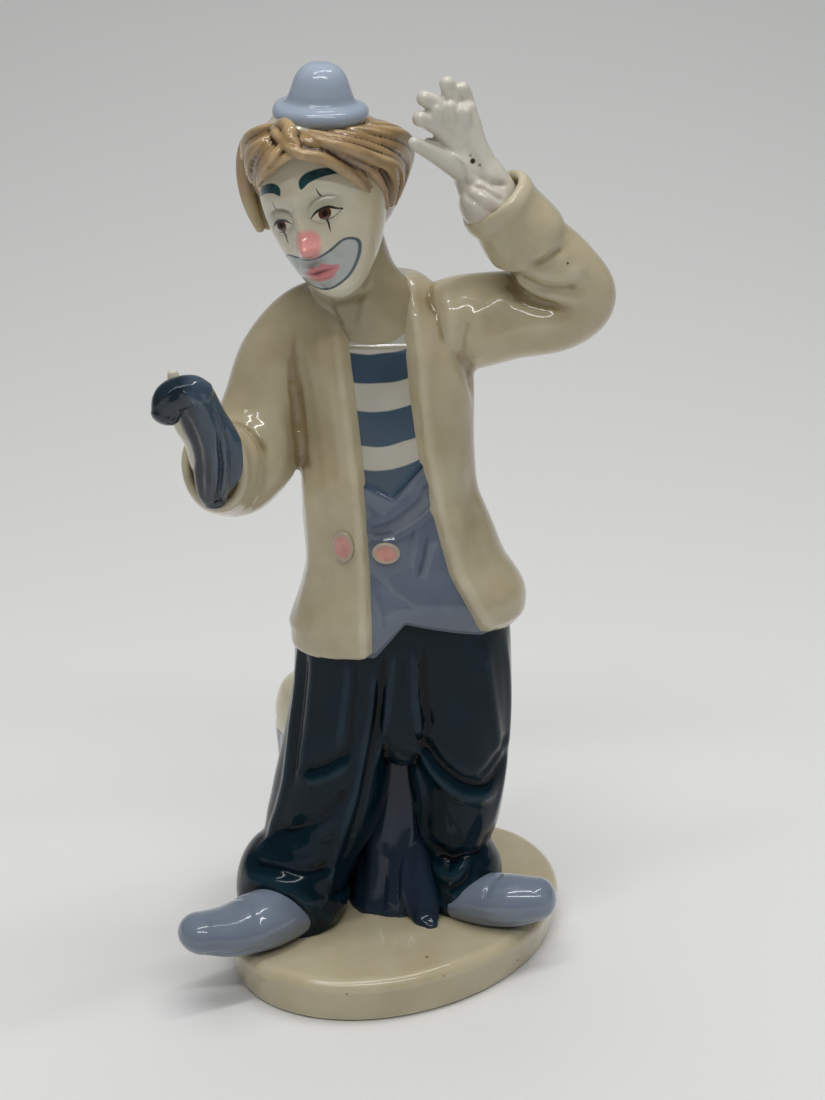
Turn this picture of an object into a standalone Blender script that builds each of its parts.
"""A glazed porcelain clown on an oval plinth, slip cast and fired in one piece.

Metres, +Z up. The origin is the middle of the plinth's underside, and the clown's chest faces -Y.
The clown's right hand, at -X, holds a kerchief, and the left hand, at +X, waves.

The figure is drawn in millimetres, as tall as DRAWN_HEIGHT above DRAWN_FLOOR, where the soles meet
the plinth. place() scales that drawing to FIGURE_HEIGHT and stands it on the plinth. Every form is a
closed loft: rings of points along a path, or up an axis. A Boolean fuses all of them with the plinth.
"""

import math

import bpy
import numpy as np

# Driving sizes, in metres
FIGURE_HEIGHT = 0.2460
PLINTH_LENGTH = 0.1110
PLINTH_WIDTH = 0.0860
PLINTH_THICKNESS = 0.0135
PLINTH_EDGE_RADIUS = 0.0035
PLINTH_SIDE_SLOPE = 0.0015
PLINTH_FOOT_CHAMFER = 0.0008
PLINTH_TURN = math.radians(42.0)

# Where the drawing's own zero stands on the plinth, in metres from the plinth's middle
STANCE_X = -0.0022
STANCE_Y = -0.0038

# The drawing, in millimetres
DRAWN_HEIGHT = 246.0
DRAWN_FLOOR = 10.0
SCALE = FIGURE_HEIGHT / DRAWN_HEIGHT

# Facets: points round a limb, and round a large form
LOCK_AROUND = 6
LIMB_AROUND = 12
LEG_AROUND = 17
BODY_AROUND = 30
PLINTH_AROUND = 36
DOME_RISES = (50,)
FACE_DENSITY = 0.45


def through(rows, count):
    """count rows on a smooth Catmull-Rom curve that passes through the given rows."""
    rows = np.asarray(rows, float)
    t = np.linspace(0, len(rows) - 1, count)
    i = np.minimum(t.astype(int), len(rows) - 2)
    f = (t - i)[:, None]
    ends = np.vstack([2 * rows[0] - rows[1], rows, 2 * rows[-1] - rows[-2]])
    a, b, c, d = ends[i], ends[i + 1], ends[i + 2], ends[i + 3]
    cubic = (3 * b - a - 3 * c + d) * f**3
    return (2 * b + (c - a) * f + (2 * a - 5 * b + 4 * c - d) * f**2 + cubic) / 2


def unit(vectors):
    return vectors / np.linalg.norm(vectors, axis=-1, keepdims=True)


def hump(x, middle, width):
    """A smooth bump of height 1 at middle, which fades over width."""
    return np.exp(-(((x - middle) / width) ** 2))


def closed_grid(rings, start, end):
    """Points and triangles of rings (ring, point, xyz) closed by a pole at each end."""
    count, around = rings.shape[:2]
    points = np.vstack([rings.reshape(-1, 3), start, end])
    ring, point = np.meshgrid(np.arange(count - 1), np.arange(around), indexing="ij")
    after = (point + 1) % around
    low, high = ring * around, (ring + 1) * around
    halves = np.stack([low + point, low + after, high + after, low + point, high + after, high + point], -1)
    turn = np.arange(around)
    next_turn = (turn + 1) % around
    first, last = count * around, count * around + 1
    top = (count - 1) * around
    start_fan = np.stack([np.full(around, first), next_turn, turn], -1)
    end_fan = np.stack([np.full(around, last), top + turn, top + next_turn], -1)
    return points, np.concatenate([halves.reshape(-1, 3), start_fan, end_fan])


def loft(rows, count, around, side=(1, 0, 0), domes=(0, 0), relief=None, shift=None):
    """A tube through rows of (x, y, z, half width, half depth), smoothed to count rings.

    side is the direction of the half width. A dome rounds an end off by that many millimetres.
    relief(points) is how far each point of the tube moves out from the tube's middle line, and
    shift(points) is how far each point moves as (x, y, z).
    """
    rows = through(rows, count)
    centre = rows[:, None, :3]
    tangent = unit(np.gradient(rows[:, :3], axis=0))
    side = np.asarray(side, float)
    across = unit(side - (tangent @ side)[:, None] * tangent)
    deep = np.cross(across, tangent)
    angle = np.linspace(0, 2 * np.pi, around, endpoint=False)
    wide = (rows[:, 3, None] * np.cos(angle))[..., None] * across[:, None]
    thick = (rows[:, 4, None] * np.sin(angle))[..., None] * deep[:, None]
    rings = centre + wide + thick
    if relief:
        rings = rings + relief(rings)[..., None] * unit(rings - centre)
    if shift:
        rings = rings + shift(rings)
    caps = [np.empty((0, around, 3))] * 2
    poles = [rows[0, :3], rows[-1, :3]]
    for end, sign in ((0, -1), (-1, 1)):
        if domes[end]:
            lift = sign * domes[end] * tangent[end]
            rises = np.radians(DOME_RISES)[:, None, None]
            caps[end] = centre[end] + (rings[end] - centre[end]) * np.cos(rises) + lift * np.sin(rises)
            poles[end] = poles[end] + lift
    return closed_grid(np.concatenate([caps[0][::-1], rings, caps[1]]), *poles)


def turned(points, pitch, yaw, roll, centre):
    """Points of a local drawing tipped by pitch, leant by roll, turned by yaw, and moved to centre."""
    p, y, r = (math.radians(a) for a in (pitch, yaw, roll))
    tip = np.array([[1, 0, 0], [0, math.cos(p), -math.sin(p)], [0, math.sin(p), math.cos(p)]])
    lean = np.array([[math.cos(r), 0, math.sin(r)], [0, 1, 0], [-math.sin(r), 0, math.cos(r)]])
    turn = np.array([[math.cos(y), -math.sin(y), 0], [math.sin(y), math.cos(y), 0], [0, 0, 1]])
    return points @ (turn @ lean @ tip).T + np.asarray(centre, float)


def place(points):
    """Drawing millimetres to metres on the plinth."""
    moved = (np.asarray(points, float) - [0, 0, DRAWN_FLOOR]) * SCALE
    return moved + [STANCE_X, STANCE_Y, PLINTH_THICKNESS]


def outward(points, faces):
    """The faces, turned round if the closed surface is inside out."""
    first, second, third = (points[faces[:, corner]] for corner in range(3))
    volume = (first * np.cross(second, third)).sum()
    return faces.tolist() if volume > 0 else faces[:, ::-1].tolist()


for leftover in list(bpy.data.objects):
    bpy.data.objects.remove(leftover)

forms = bpy.data.collections.new("forms")
bpy.context.scene.collection.children.link(forms)


def add_form(name, surface, local=None):
    """A helper mesh that the Boolean fuses into the figurine."""
    points, faces = surface
    if local:
        points = turned(points, **local)
    points = place(points)
    mesh = bpy.data.meshes.new(name)
    mesh.from_pydata(points.tolist(), [], outward(points, faces))
    helper = bpy.data.objects.new(name, mesh)
    helper.hide_render = True
    helper.display_type = "WIRE"
    forms.objects.link(helper)
    return helper


def creases(points, lines):
    """Folds pressed along drawn lines: for each (points of the line, width, height), a smooth ridge.

    A height below zero presses a groove. The ridge fades with the distance to the line.
    """
    total = np.zeros(points.shape[:-1])
    for line, width, height in lines:
        line = np.asarray(line, float)
        nearest = np.full(points.shape[:-1], np.inf)
        for start, end in zip(line[:-1], line[1:]):
            run = end - start
            along = np.clip(((points - start) @ run) / (run @ run), 0, 1)
            gap = np.linalg.norm(points - start - along[..., None] * run, axis=-1)
            nearest = np.minimum(nearest, gap)
        total += height * hump(nearest, 0, width)
    return total


# Plinth: an oval slab with a rounded upper edge, a side that slopes in and a small chamfer at its foot
def add_plinth():
    angle = np.linspace(0, 2 * np.pi, PLINTH_AROUND, endpoint=False)
    foot = -PLINTH_SIDE_SLOPE
    profile = [(foot - PLINTH_FOOT_CHAMFER, 0.0), (foot, PLINTH_FOOT_CHAMFER)]
    for rise in np.radians([0, 30, 60, 90]):
        inset = PLINTH_EDGE_RADIUS * (math.cos(rise) - 1)
        profile.append((inset, PLINTH_THICKNESS - PLINTH_EDGE_RADIUS * (1 - math.sin(rise))))
    rings = []
    for inset, height in profile:
        x = (PLINTH_LENGTH / 2 + inset) * np.cos(angle)
        y = (PLINTH_WIDTH / 2 + inset) * np.sin(angle)
        turn_x = x * math.cos(PLINTH_TURN) - y * math.sin(PLINTH_TURN)
        turn_y = x * math.sin(PLINTH_TURN) + y * math.cos(PLINTH_TURN)
        rings.append(np.stack([turn_x, turn_y, np.full_like(x, height)], -1))
    points, faces = closed_grid(np.array(rings), [0, 0, 0], [0, 0, PLINTH_THICKNESS])
    mesh = bpy.data.meshes.new("plinth")
    mesh.from_pydata(points.tolist(), [], outward(points, faces))
    helper = bpy.data.objects.new("plinth", mesh)
    helper.hide_render = True
    helper.display_type = "WIRE"
    forms.objects.link(helper)


# Trousers: baggy legs, drawn from the plinth up as (x, y, z, half width, half depth)
RIGHT_LEG = [
    (-27.5, -5, 8, 15, 16), (-28.5, -5, 14, 17, 17.5), (-28.5, -4, 21, 17.4, 17.5), (-24.5, -1, 28, 15, 16),
    (-21, 0, 37, 16, 16.5), (-17.5, 0, 48, 17, 17), (-14.5, 0, 64, 16.5, 17.5),
    (-11.5, 0, 82, 17.5, 18), (-8, 0, 101, 20, 18),
]
LEFT_LEG = [
    (21.5, 3, 8, 10.5, 12), (22, 2, 14, 12, 14), (22, 2, 21, 12, 14), (20.5, 4, 28, 10.5, 12.5),
    (20, 4, 37, 13, 14.5), (20, 3, 48, 14.5, 16), (20, 2, 60, 15.5, 17), (19, 1, 82, 17, 18),
    (14, 0, 101, 20, 18),
]
SEAT = [(3, 4, 59, 6, 8.5), (3.5, 3, 67, 12, 12), (4, 3, 76, 20, 13), (4, 1, 90, 27, 16), (4, 0, 103, 29, 18)]
TROUSER_FOLDS = [
    ([(-27, -13, 96), (-29, -12, 72), (-30, -14, 52)], 2.2, 1.5),
    ([(-18, -19, 96), (-20, -19, 76), (-24, -17, 58)], 2.0, 1.4),
    ([(-23, -17, 60), (-15, -19, 66), (-10, -19, 74)], 2.6, -1.6),
    ([(-4, -19, 96), (-8, -19, 76), (-12, -19, 52), (-17, -20, 30)], 2.4, 1.6),
    ([(3, -18, 98), (0, -17, 78), (-4, -16, 60)], 1.8, 1.4),
    ([(-30, -19, 42), (-22, -18, 44), (-12, -19, 54)], 2.6, -1.5),
    ([(-42, -14, 24), (-32, -21, 25), (-20, -20, 22)], 2.4, 1.4),
    ([(-40, -12, 29), (-29, -18, 31), (-16, -17, 29)], 2.6, -1.6),
    ([(8, -18, 98), (9, -18, 78), (11, -16, 60), (12, -14, 40)], 2.4, 1.5),
    ([(12, -18, 66), (19, -17, 56), (28, -14, 54), (33, -8, 60)], 2.4, -1.9),
    ([(13, -16, 59), (20, -17, 50), (29, -13, 48)], 2.2, 1.5),
    ([(14, -14, 34), (21, -13, 31), (30, -8, 33)], 2.4, -1.8),
    ([(13, -12, 24), (20, -13, 26), (26, -12, 32), (31, -6, 28)], 2.4, 1.6),
    ([(26, -14, 98), (29, -13, 80), (31, -10, 62)], 2.4, 1.3),
    ([(30, 12, 96), (33, 11, 70), (31, 12, 46), (30, 12, 24)], 2.8, 1.5),
    ([(18, 20, 96), (19, 20, 66), (19, 19, 34)], 2.8, 1.5),
    ([(-10, 19, 96), (-16, 18, 62), (-24, 15, 28)], 2.8, 1.5),
    ([(-26, 14, 96), (-31, 12, 60), (-38, 10, 26)], 2.8, 1.5),
]

# Shoes: long rounded toes, from inside the trouser hem out to the tip
RIGHT_SHOE = [(-26, -14, 14, 7, 6), (-35, -22, 16.8, 9.3, 8.6), (-45, -29, 18, 9, 8),
              (-53, -34, 20, 7.6, 6.4)]
LEFT_SHOE = [(21, -6, 14, 7, 6), (29, -10, 16, 8.5, 7.6), (37, -13, 17.4, 8.2, 7.6),
             (44, -14.5, 18.8, 7, 6.2)]

# Stool behind the legs, with a cloth thrown over it that falls to the plinth between the shoes
STOOL = [(-12, 24, 8, 21, 15), (-12, 25, 24, 21.5, 15), (-12, 26, 48, 23, 15), (-12, 26, 62, 23.5, 15),
         (-11, 26, 69, 21, 13)]
DRAPE = [(3, 4, 8, 17, 15), (3, 5, 16, 14.5, 13.5), (3, 7, 30, 11.5, 12), (3, 10, 46, 11, 12),
         (3, 12, 62, 11, 12),
         (3, 10, 78, 8, 7)]
DRAPE_FOLDS = [
    ([(-7, -4, 34), (-6, -8, 20), (-8, -12, 9)], 2.6, 1.8),
    ([(3, -3, 56), (3, -5, 36), (2, -9, 20), (1, -10, 9)], 2.6, -1.6),
    ([(9, -4, 42), (10, -7, 26), (11, -11, 16), (13, -14, 9)], 2.8, 3.0),
    ([(-31, 16, 66), (-33, 16, 40), (-32, 16, 10)], 3.0, 1.8),
    ([(-22, 39, 66), (-23, 40, 40), (-22, 39, 10)], 3.4, 1.8),
    ([(-4, 41, 66), (-3, 41, 40), (-3, 39, 10)], 3.4, 1.8),
    ([(10, 34, 66), (11, 32, 40), (12, 30, 10)], 3.4, 1.8),
]

# Jacket: the body from the flared hem to the collar
JACKET = [
    (5.5, -1, 97, 32.5, 21), (5.5, -1, 107, 33, 22), (3.9, -1, 122, 28, 20), (1, -1, 137, 25, 18.5),
    (0, -1, 152, 24.2, 18), (-1, -0.5, 168, 25, 17.5), (-2.5, 0, 180, 26, 16.5), (-2, 1, 190, 24, 14.5),
    (-1, 2, 196, 16, 11.5), (-1, 2, 201, 9.5, 8.5),
]
JACKET_FOLDS = [
    ([(22, -9, 166), (16, -14, 180), (17, -12, 194)], 2.2, 1.3),
    ([(26, -8, 166), (21, -12, 182), (22, -10, 196)], 2.0, -1.3),
    ([(19, -18, 160), (17, -18, 130), (27, -18, 108)], 2.6, 1.0),
    ([(-24, -10, 150), (-22, -14, 128), (-26, -12, 104)], 3.0, 1.0),
    ([(0, 16, 190), (1, 17, 150), (3, 20, 100)], 3.0, -1.4),
    ([(-16, 14, 176), (-16, 14, 140), (-18, 17, 100)], 3.4, 1.2),
    ([(18, 13, 176), (18, 13, 140), (24, 16, 100)], 3.4, 1.2),
]

WAISTCOAT_FOLDS = [
    ([(10, -18, 155), (3, -18, 143), (-4, -18, 133)], 2.2, 1.0),
    ([(13, -18, 142), (8, -18, 132), (3, -18, 124)], 2.2, -0.9),
    ([(17, -18, 130), (12, -18, 118), (8, -19, 108)], 2.2, 1.0),
]

# The jacket's open front: its two edges as (z, x), and how far the shirt lies back from the cloth
OPENING_RIGHT = [(95, -5.2), (119, -5.8), (137, -6.5), (152, -7.8), (183, -11.5), (200, -13.5)]
OPENING_LEFT = [(95, 28.5), (104, 25.8), (119, 19.5), (139, 14), (157, 10.2), (171, 8.2), (200, 5.8)]
OPENING_DEPTH = 2.6
OPENING_EDGE = 1.2
LAPEL_RADIUS = 1.7
LAPEL_FOOT = 98.5
LAPEL_TOP = 197.0

# How far the jacket's hem rises towards the clown's left, and how far it parts between the waistcoat's tails
HEM_LIFT = 8.0
TAIL_LIFT = 10.8
TAIL_APEX = 4.9
TAIL_SLOPES = (1.29, 0.19)
SIDE_DROP = 3.0


def hem_shift(points):
    """The hem rises towards the clown's left, drops at the right, and parts in front between two tails."""
    x, y, z = np.moveaxis(points, -1, 0)
    falls = TAIL_SLOPES[0] * np.maximum(TAIL_APEX - x, 0) + TAIL_SLOPES[1] * np.maximum(x - TAIL_APEX, 0)
    front = np.clip((-5 - y) / 4, 0, 1)
    lift = np.maximum(HEM_LIFT * np.clip(x / 30, 0, 1), (TAIL_LIFT - falls) * front)
    lift = (lift - SIDE_DROP * np.clip((-x - 8) / 18, 0, 1)) * np.clip((122 - z) / 25, 0, 1)
    return np.stack([0 * lift, 0 * lift, lift], -1)


def edge_at(edge, z):
    heights, sides = zip(*edge)
    return np.interp(z, heights, sides)


def jacket_relief(points):
    x, y, z = np.moveaxis(points, -1, 0)
    inside = np.minimum(x - edge_at(OPENING_RIGHT, z), edge_at(OPENING_LEFT, z) - x)
    open_front = np.clip(0.5 + inside / OPENING_EDGE, 0, 1) * (y < -5)
    wrap = creases(points, WAISTCOAT_FOLDS) - OPENING_DEPTH
    return creases(points, JACKET_FOLDS) * (1 - open_front) + wrap * open_front


def front_of_body(x, z):
    """How far forward the jacket's body reaches at a place seen from the front."""
    rows = np.asarray(JACKET, float)
    cx, cy, wide, deep = (np.interp(z, rows[:, 2], rows[:, k]) for k in (0, 1, 3, 4))
    return cy - deep * np.sqrt(np.clip(1 - ((x - cx) / wide) ** 2, 0, 1))


def lapel(edge):
    """The rolled edge of the open front, from the hem to the neck."""
    heights = np.linspace(LAPEL_FOOT, LAPEL_TOP, 12)
    sides = edge_at(edge, heights)
    depths = front_of_body(sides, heights) + 0.4
    line = np.stack([sides, depths, heights], -1)
    radii = np.full((len(line), 2), LAPEL_RADIUS)
    return np.hstack([line + hem_shift(line), radii])


# Sleeves
RIGHT_SLEEVE = [
    (-10, 3, 190, 10, 10), (-21, 3, 187, 10.5, 10.5), (-29, 2.5, 177, 11.5, 11.5), (-33, 0.5, 165, 12, 12.5),
    (-36, -4, 155, 13, 13.5), (-40, -12, 150.5, 12, 13), (-43.5, -21, 152.5, 10.5, 12.5),
    (-44.5, -28, 155, 8.8, 12),
]
LEFT_SLEEVE = [
    (4, 2, 186, 9, 9), (19, 2, 187, 13.6, 12.8), (34, 1, 189.5, 11.5, 12), (46, 0, 190.8, 10.5, 10.8),
    (51.4, -1.2, 195.2, 10, 10.2), (46, -3.6, 202.4, 10, 10.1), (39.8, -6.4, 208.4, 9.9, 9.9),
    (35, -8.4, 213.6, 9.8, 9.8),
]
LEFT_CUFF = [(37.6, -7, 210, 11, 10.8), (33, -8.9, 215.8, 11.4, 11), (28.6, -10.7, 221.4, 10.4, 10)]
SLEEVE_FOLDS = [
    ([(26, -10, 200), (34, -12, 194), (46, -10, 193)], 2.4, -1.6),
    ([(30, -12, 204), (38, -14, 198), (50, -11, 200)], 2.4, 1.4),
    ([(36, -14, 208), (44, -13, 205), (54, -9, 204)], 2.2, -1.2),
    ([(20, -9, 178), (30, -11, 186), (40, -11, 188)], 2.8, 1.2),
    ([(-30, -12, 168), (-28, -14, 156), (-30, -16, 146)], 2.6, 1.2),
    ([(-24, -9, 176), (-25, -11, 160), (-24, -12, 146)], 2.6, -1.3),
    ([(-34, -14, 160), (-32, -18, 150), (-34, -22, 142)], 2.4, -1.0),
]


# Neck and head. The head is drawn by itself, facing -Y, and then tilted
NECK = [(-2, 0.8, 176, 11, 9.5), (-6, -1.4, 190, 12.5, 11.3), (-10.5, -4, 201, 11, 11),
        (-13, -5, 209, 10.4, 11), (-12, -5, 218, 12, 12.5)]
HEAD_TILT = dict(pitch=12, yaw=-21, roll=-17, centre=(-15.6, -11.5, 222.8))
HEAD_HALF = (15.6, 18.0, 24.5)
CHIN_FORWARD = 8.5


def head_surface(around, high):
    """An egg of a head that narrows to a chin set forward, with brow, eye hollows, nose, cheeks and lips."""
    rise = np.linspace(-np.pi / 2, np.pi / 2, high + 2)[1:-1, None]
    turn = np.linspace(0, 2 * np.pi, around, endpoint=False)[None, :]
    turn = turn - FACE_DENSITY * np.sin(turn)
    x = np.cos(rise) * np.sin(turn)
    y = -np.cos(rise) * np.cos(turn)
    z = np.sin(rise) + 0 * turn
    low = np.clip((-z - 0.15) / 0.85, 0, 1)
    points = np.stack([x * (1 - 0.16 * low), y * (1 - 0.10 * low), z], -1) * HEAD_HALF
    px, pz = points[..., 0], points[..., 2]
    push = 1.0 * hump(pz, 5.0, 3.0) * hump(px, 0, 10)
    push -= 1.8 * hump(pz, 0.5, 2.8) * (hump(px, -5.8, 3.6) + hump(px, 5.8, 3.6))
    push += 4.4 * hump(pz, -7.0, 3.0) * hump(px, 0, 2.8) + 2.0 * hump(pz, -2.0, 4.0) * hump(px, 0, 2.0)
    push += 1.0 * hump(pz, -7.0, 4.5) * (hump(px, -8, 4) + hump(px, 8, 4))
    push += 1.2 * hump(pz, -13.0, 2.4) * hump(px, 0, 5.0) + 1.0 * hump(pz, -19.5, 3.0) * hump(px, 0, 5)
    points[..., 1] -= push * np.clip(-y, 0, 1) + CHIN_FORWARD * low**1.2
    return closed_grid(points, points[0].mean(0) - [0, 0, 0.4], points[-1].mean(0) + [0, 0, 0.4])


# Hair: a full mass, and locks that sweep from under the hat to both sides
HAIR = [
    (-18, 3, 211, 8.5, 8), (-17, 1.5, 216, 14, 14), (-15.6, 0, 222, 18.8, 17.5), (-15.2, -2, 229, 20.8, 18.4),
    (-15.2, -4, 235, 19.6, 17.4), (-15.4, -5, 239, 14.5, 13),
]
LOCKS = [
    [(-26.2, -19, 240.8, 2.4), (-24.6, -24.5, 241.6, 2.8), (-23.0, -27.8, 240.2, 2.7),
     (-22.8, -28.6, 238.2, 1.9)],
    [(-26, -20, 241, 2.4), (-26, -27, 239.3, 3.2), (-21.5, -29.6, 236.8, 3.2), (-14, -28.5, 234.8, 3.0),
     (-8, -24, 230.4, 3.2), (-3.6, -17, 224, 2.4)],
    [(-23, -22, 240, 2.4), (-19, -28.5, 239.0, 3.0), (-12, -28, 237.4, 3.2), (-5.6, -23, 233.2, 3.6),
     (-1, -15.5, 227.5, 3.6), (0.4, -9, 222, 2.2)],
    [(-16, -23.6, 238.6, 2.4), (-9.5, -25, 237.6, 3.1), (-3, -19.6, 235.4, 3.8), (2.2, -11.2, 230.9, 4.0),
     (3.2, -5, 224.4, 2.8)],
    [(-7.5, -18.6, 234.8, 3.4), (-2.2, -14.5, 237, 3.8), (3.0, -7, 235.2, 3.8), (3.8, 0, 229.4, 3.8),
     (1.6, 3, 223, 2.6)],
    [(-5, -10, 238.6, 2.4), (0, -4, 237.4, 3.2), (3.0, 3, 233, 3.8), (1.6, 8, 227, 3.6), (-2, 9, 220, 2.4)],
    [(-26, -18, 241.5, 2.4), (-31, -20, 240.5, 3.0), (-34.6, -14, 237, 3.2), (-35.4, -7, 231, 2.8)],
    [(-27, -23, 239.6, 2.2), (-31.5, -22, 237.4, 2.8), (-34.2, -16, 233, 3.0), (-34.6, -10, 227, 2.6),
     (-34, -5, 219, 3.0), (-31.5, -5, 213.5, 2.0)],
    [(-27, -25.5, 237.8, 2.2), (-30.5, -23, 235.2, 2.6), (-32.5, -18, 230.5, 2.6), (-33.2, -9, 222, 2.8),
     (-31, -6, 214, 2.0)],
    [(-24.5, -28, 236.4, 2.0), (-28.5, -26, 234, 2.4), (-30.8, -22.5, 229, 2.0)],
    [(-28, -12, 240, 2.4), (-33, -7, 237, 3.2), (-35, -1, 231, 3.4), (-34, 3, 222, 3.2), (-31, 3, 213, 2.2)],
    [(-26, -5, 239.5, 2.4), (-31, 1, 236, 3.2), (-32.4, 8, 229, 3.4), (-30, 11, 221, 3.2),
     (-27, 9, 213, 2.2)],
    [(-20, -3, 239.6, 2.4), (-23.5, 6, 236, 3.4), (-24.2, 13, 229, 3.6), (-22, 15, 220, 3.2),
     (-20, 12, 212, 2.2)],
    [(-13, -3, 239.4, 2.4), (-13, 7, 236, 3.4), (-13, 14, 229, 3.6), (-12.5, 16, 221, 3.2),
     (-12, 13, 213, 2.2)],
    [(-7, -4, 239, 2.4), (-4, 5, 235, 3.4), (-3, 12, 228, 3.6), (-4.5, 14, 221, 3.0), (-6, 11, 215, 2.2)],
]


# Hat: a small bowler, turned about its own axis as (radius, height), then tipped to the front
HAT = [(8.4, -3.2), (10.6, -1.3), (12.05, 0.4), (11.5, 2.3), (9.5, 3.3), (8.2, 4.8), (7.4, 6.8),
       (6.5, 9.2),
       (4.9, 11.5), (2.6, 12.7)]
HAT_TOP = 13.0
HAT_TILT = dict(pitch=9, yaw=0, roll=2, centre=(-16.2, -12.6, 243.0))


def turned_profile(profile, top, around):
    angle = np.linspace(0, 2 * np.pi, around, endpoint=False)
    rings = [np.stack([r * np.cos(angle), r * np.sin(angle), np.full(around, h)], -1) for r, h in profile]
    return closed_grid(np.array(rings), [0, 0, profile[0][1]], [0, 0, top])


# Hands and kerchief: forms as in a limb, and fingers as rows of (x, y, z, radius)
PALM = [(30, -9.5, 215, 6, 6), (27.4, -10.2, 221, 7.4, 6.6), (24.8, -10.6, 226, 6.8, 5.8),
        (22.6, -10.8, 230, 6, 4.9), (20.4, -11.2, 235, 5.5, 4.1), (18.2, -11.8, 240, 5.6, 3.5),
        (17.6, -12.4, 245, 4.4, 3)]
GLOVE_ROLL = [(27.6, -11.4, 219, 6.6, 6.6), (25.4, -12.4, 222, 6.4, 6.2), (24.4, -12.2, 225.4, 4.8, 4.6)]
FINGERS = [
    [(23, -11.5, 227, 3.6), (15.4, -13.6, 231.8, 2.6), (11, -15.8, 234.4, 2), (7.6, -18.4, 236.4, 1.6)],
    [(18, -12, 236, 2.9), (14.4, -13.6, 239.6, 2.6), (8.9, -17.5, 242.2, 1.9)],
    [(17.4, -12.4, 240, 2.9), (14.2, -14, 244.2, 2.5), (10, -16.5, 247.2, 1.9)],
    [(17.8, -12, 241, 2.9), (17, -12.2, 246, 2.5), (15.7, -13.9, 250.5, 2.1)],
    [(20.2, -11.4, 239, 2.9), (20.7, -11, 244, 2.5), (19.6, -11.9, 249.2, 2)],
]
KERCHIEF = [
    (-43.8, -33, 146, 2.4, 2.4), (-44.2, -34, 151, 4.4, 4), (-42.8, -36, 160, 6.2, 5),
    (-44.6, -38.4, 169, 6.6, 5.2),
    (-47, -39.8, 176, 5.4, 4.8),
]
KERCHIEF_CURL = [
    (-43.6, -41, 178, 3.4, 3.6), (-48, -42.4, 178.8, 4.2, 4.2), (-52.6, -43.6, 177, 4.4, 4.4),
    (-54.4, -44.4, 172.6, 3.8, 3.8),
]
KERCHIEF_FOLDS = [
    ([(-42.5, -39, 148), (-41, -40, 160), (-42, -42.5, 170), (-45, -45, 179)], 1.8, 1.0),
    ([(-38.5, -37, 150), (-37.5, -38, 160), (-38.5, -40, 170)], 1.8, 0.8),
    ([(-47, -38, 150), (-47.5, -40, 160), (-49, -42, 170)], 1.8, 0.6),
]
RIGHT_HAND = [
    (-44, -18, 154, 6.5, 7), (-45.6, -28, 157, 5.4, 6), (-48, -34.2, 164, 3.4, 3.6),
    (-50.4, -38, 169.4, 2.8, 2.8),
    (-52, -39.6, 175, 2.4, 2.4),
]
STUB = [(-51.4, -41, 178, 2.6, 2), (-52.2, -41, 183.2, 1.5, 1.4)]
JACKET_BUTTONS = [(-12.2, 131.1, 2.7, 4.0), (-0.2, 127.8, 3.9, 2.9)]


def round_rows(rows):
    return [(*row, row[3]) for row in rows]


def button(x, z, wide, high):
    """A flat oval button on the jacket or on the waistcoat."""
    inside = edge_at(OPENING_RIGHT, z) < x < edge_at(OPENING_LEFT, z)
    y = front_of_body(x, z) + (OPENING_DEPTH if inside else 0)
    return [(x, y + 1.0, z, wide, high), (x, y - 1.0, z, wide, high)]


def trouser_relief(points):
    return creases(points, TROUSER_FOLDS)


def drape_relief(points):
    return creases(points, DRAPE_FOLDS)


def sleeve_relief(points):
    return creases(points, SLEEVE_FOLDS)


def kerchief_relief(points):
    return creases(points, KERCHIEF_FOLDS)


add_plinth()
add_form("right_leg", loft(RIGHT_LEG, 12, LEG_AROUND, relief=trouser_relief))
add_form("left_leg", loft(LEFT_LEG, 12, LEG_AROUND, relief=trouser_relief))
add_form("seat", loft(SEAT, 6, LEG_AROUND, relief=trouser_relief))
add_form("right_shoe", loft(RIGHT_SHOE, 6, LIMB_AROUND, side=(1, -1, 0), domes=(0, 6.5)))
add_form("left_shoe", loft(LEFT_SHOE, 6, LIMB_AROUND, side=(0, 1, 0), domes=(0, 5.5)))
add_form("stool", loft(STOOL, 6, 14, domes=(0, 3), relief=drape_relief))
add_form("drape", loft(DRAPE, 6, 16, relief=drape_relief))
add_form("jacket", loft(JACKET, 14, BODY_AROUND, relief=jacket_relief, shift=hem_shift))
add_form("right_lapel", loft(lapel(OPENING_RIGHT), 8, LOCK_AROUND))
add_form("left_lapel", loft(lapel(OPENING_LEFT), 8, LOCK_AROUND))
add_form("right_sleeve", loft(RIGHT_SLEEVE, 10, LIMB_AROUND, side=(1, 0, 0.2), relief=sleeve_relief))
add_form("left_sleeve", loft(LEFT_SLEEVE, 11, LIMB_AROUND, side=(0, 1, 0), relief=sleeve_relief))
add_form("left_cuff", loft(LEFT_CUFF, 4, 14, side=(0, 1, 0)))
add_form("neck", loft(NECK, 5, LIMB_AROUND))
add_form("head", head_surface(18, 17), local=HEAD_TILT)
add_form("hair", loft(HAIR, 6, 14, domes=(3, 3)))
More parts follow.
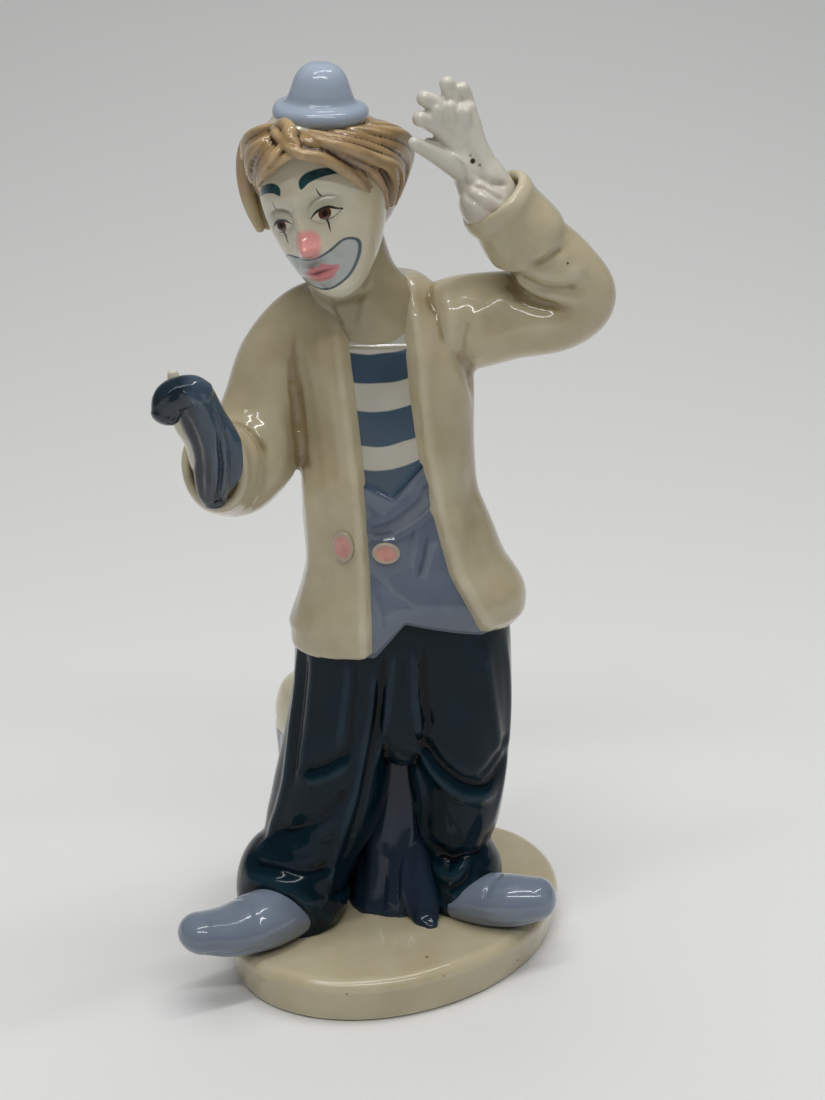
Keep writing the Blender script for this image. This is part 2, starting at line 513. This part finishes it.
for number, lock in enumerate(LOCKS):
    tube = loft(round_rows(lock), len(lock), LOCK_AROUND, side=(0.3, 1, 0.2), domes=(1.5, 1.5))
    add_form(f"lock_{number}", tube)
add_form("hat", turned_profile(HAT, HAT_TOP, 18), local=HAT_TILT)
add_form("palm", loft(PALM, 7, 10, side=(1, 0, 0.3), domes=(0, 2)))
add_form("glove_roll", loft(GLOVE_ROLL, 4, 12, side=(0, 1, 0), domes=(0, 2)))
for number, finger in enumerate(FINGERS):
    add_form(f"finger_{number}", loft(round_rows(finger), 4, LOCK_AROUND, side=(0, 1, 0.2), domes=(0, 1.8)))
add_form("kerchief", loft(KERCHIEF, 8, LIMB_AROUND, side=(1, 0, 0.2), domes=(2, 4), relief=kerchief_relief))
add_form("kerchief_curl", loft(KERCHIEF_CURL, 6, 10, side=(0, 1, 0), domes=(2, 2.5)))
add_form("right_hand", loft(RIGHT_HAND, 6, 10, side=(1, 0, 0.2)))
add_form("stub", loft(STUB, 2, LOCK_AROUND, domes=(0, 1)))
for number, size in enumerate(JACKET_BUTTONS):
    add_form(f"button_{number}", loft(button(*size), 2, 12))

# The figurine: one fused piece of glazed porcelain
mesh = bpy.data.meshes.new("clown_figurine")
figurine = bpy.data.objects.new("clown_figurine", mesh)
bpy.context.scene.collection.objects.link(figurine)
base = forms.objects["plinth"]
mesh.from_pydata([v.co[:] for v in base.data.vertices], [], [p.vertices[:] for p in base.data.polygons])
union = figurine.modifiers.new("fuse", "BOOLEAN")
union.operation = "UNION"
union.solver = "EXACT"
union.operand_type = "COLLECTION"
union.collection = forms
union.use_self = True

glaze = bpy.data.materials.new("glazed_porcelain")
glaze.use_nodes = True
shader = glaze.node_tree.nodes["Principled BSDF"]
shader.inputs["Base Color"].default_value = (0.33, 0.30, 0.20, 1)
shader.inputs["Roughness"].default_value = 0.12
shader.inputs["Metallic"].default_value = 0.0
mesh.materials.append(glaze)
mesh.shade_smooth()
mesh.set_sharp_from_angle(angle=math.radians(35))
